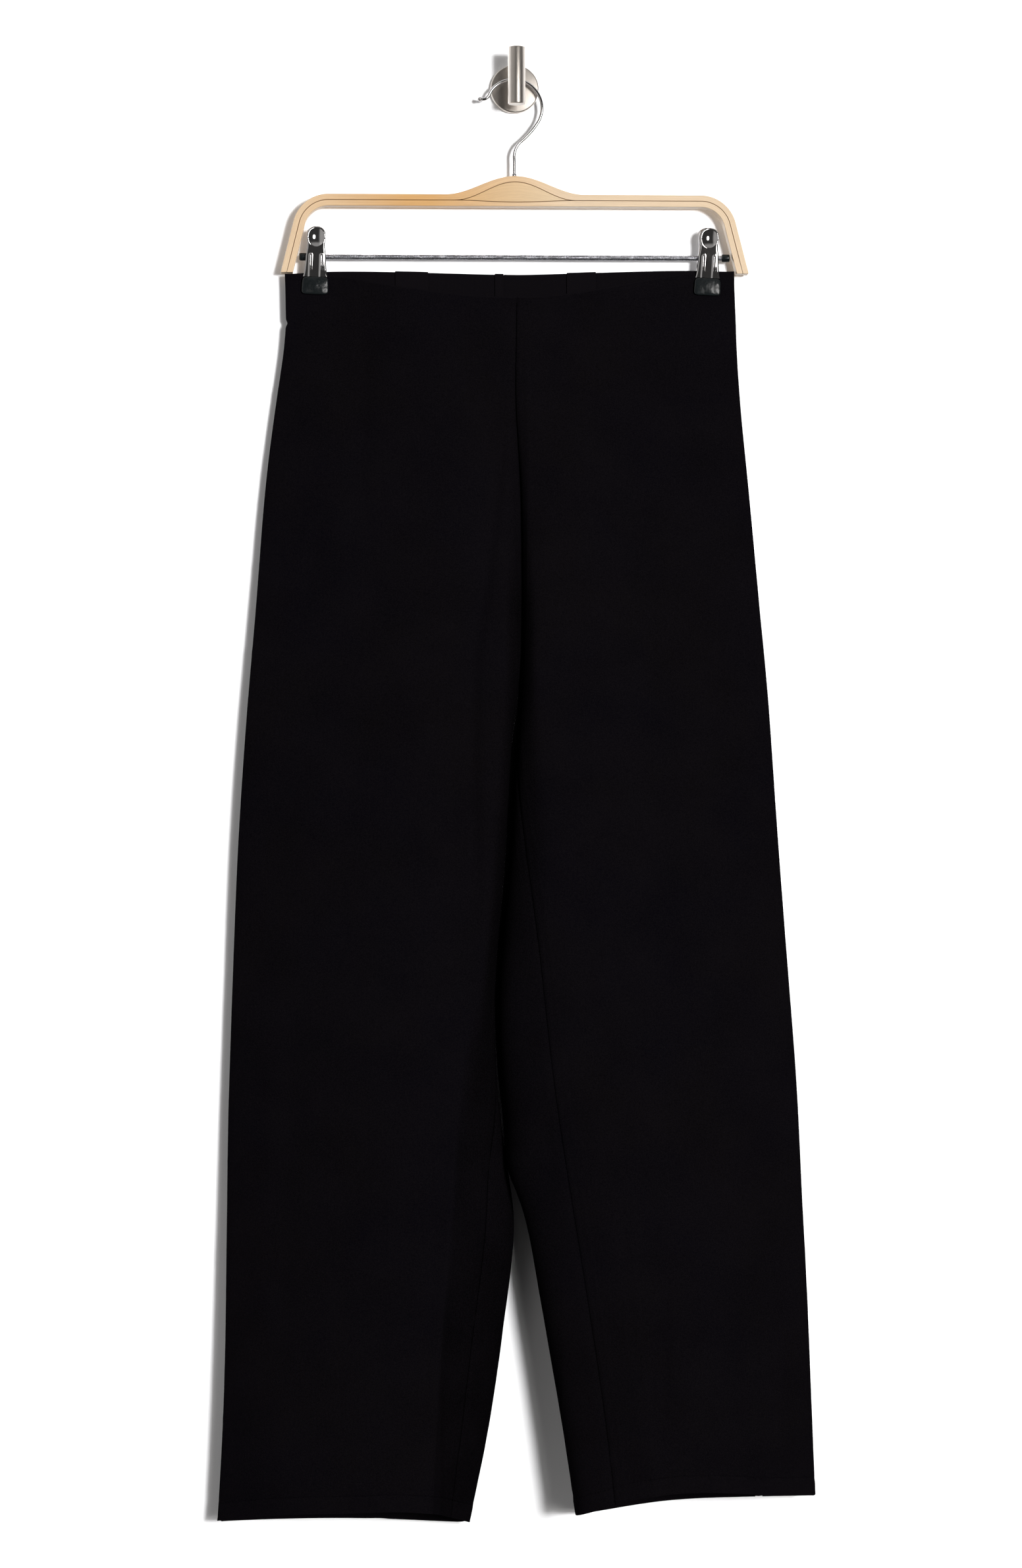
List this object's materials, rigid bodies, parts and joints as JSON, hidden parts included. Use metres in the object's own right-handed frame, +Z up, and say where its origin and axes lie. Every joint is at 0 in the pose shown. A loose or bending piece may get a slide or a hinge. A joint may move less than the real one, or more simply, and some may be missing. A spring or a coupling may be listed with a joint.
{
  "type": "palazzo pants clipped to a wooden hanger on a wall hook",
  "caption": "Black knit wide-leg pull-on pants with a clean high waist, hanging from a bent-wood clip hanger on a wall hook.",
  "frame": {"origin": "centre of the wall hook's rosette on the wall plane", "axes": "+Z up, +X to the right seen from the front, +Y into the wall, so the pants hang at negative Y"},
  "size_m": [0.4911, 0.0969, 1.2177],
  "materials": {
    "knit": "matte black double knit with a faint fuzz",
    "light_wood": "pale laminated wood, satin lacquer",
    "insert_wood": "darker wood, satin lacquer",
    "chrome": "polished chrome",
    "bar_steel": "mottled bright steel",
    "black_rubber": "black rubber, slightly glossy",
    "brushed_nickel": "brushed nickel"
  },
  "bodies": {
    "root": {"front_left": "knit", "front_right": "knit", "back_left": "knit", "back_right": "knit", "back_waist_facing": "knit", "dart_left": "knit", "dart_right": "knit", "centre_back_allowance": "knit", "hanger_outer_layer": "light_wood", "hanger_inner_layer": "light_wood", "hanger_insert": "insert_wood", "hanger_hook": "chrome", "hook_tip_ball": "chrome", "hook_collar": "chrome", "clip_bar": "bar_steel", "bar_cap_left": "black_rubber", "bar_cap_right": "black_rubber", "clip_left_front_jaw": "chrome", "clip_left_back_jaw": "chrome", "clip_left_front_pad": "black_rubber", "clip_left_back_pad": "black_rubber", "clip_left_spring": "bar_steel", "clip_right_front_jaw": "chrome", "clip_right_back_jaw": "chrome", "clip_right_front_pad": "black_rubber", "clip_right_back_pad": "black_rubber", "clip_right_spring": "bar_steel", "wall_rosette": "brushed_nickel", "wall_stem": "brushed_nickel", "wall_post": "brushed_nickel"}
  },
  "joints": []
}
